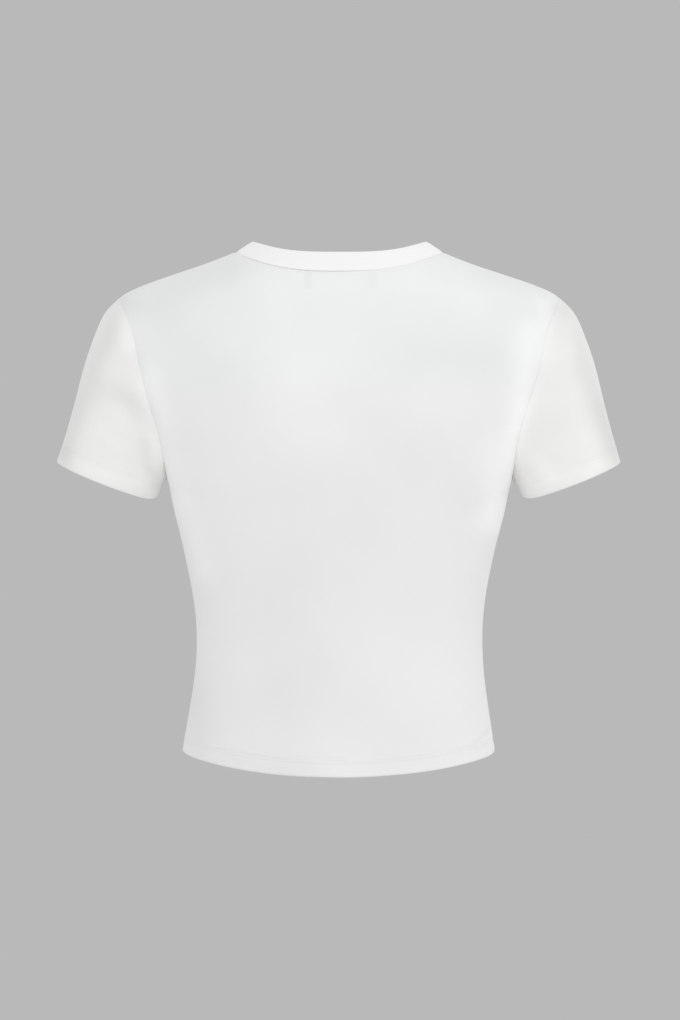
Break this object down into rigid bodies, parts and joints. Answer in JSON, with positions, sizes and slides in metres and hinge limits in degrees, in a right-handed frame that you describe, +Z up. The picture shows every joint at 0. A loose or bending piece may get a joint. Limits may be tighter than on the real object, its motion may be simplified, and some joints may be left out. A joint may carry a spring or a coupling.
{
  "type": "crop top",
  "caption": "Fitted short-sleeved cropped top in plain jersey, with a plain round neckband, set-in sleeves and turned-up hems, filled out as worn.",
  "frame": {"origin": "midway between the two points where the shoulder seams meet the neckband, at the base of the wearer's neck", "axes": "+Z up, +X to the wearer's left, the wearer faces -Y"},
  "size_m": [0.493, 0.2264, 0.4566],
  "materials": {
    "jersey": "matt single jersey, soft, slightly see-through",
    "band_jersey": "matt doubled jersey, smooth",
    "label": "blank woven tape, soft sheen"
  },
  "bodies": {
    "root": {"back_lower_left": "jersey", "back_lower_right": "jersey", "back_upper_left": "jersey", "back_upper_right": "jersey", "front_lower_left": "jersey", "front_lower_right": "jersey", "front_upper_left": "jersey", "front_upper_right": "jersey", "sleeve_left_upper_back": "jersey", "sleeve_left_upper_front": "jersey", "sleeve_left_under": "jersey", "sleeve_right_upper_back": "jersey", "sleeve_right_upper_front": "jersey", "sleeve_right_under": "jersey", "neckband": "band_jersey", "neck_label": "label"}
  },
  "joints": []
}
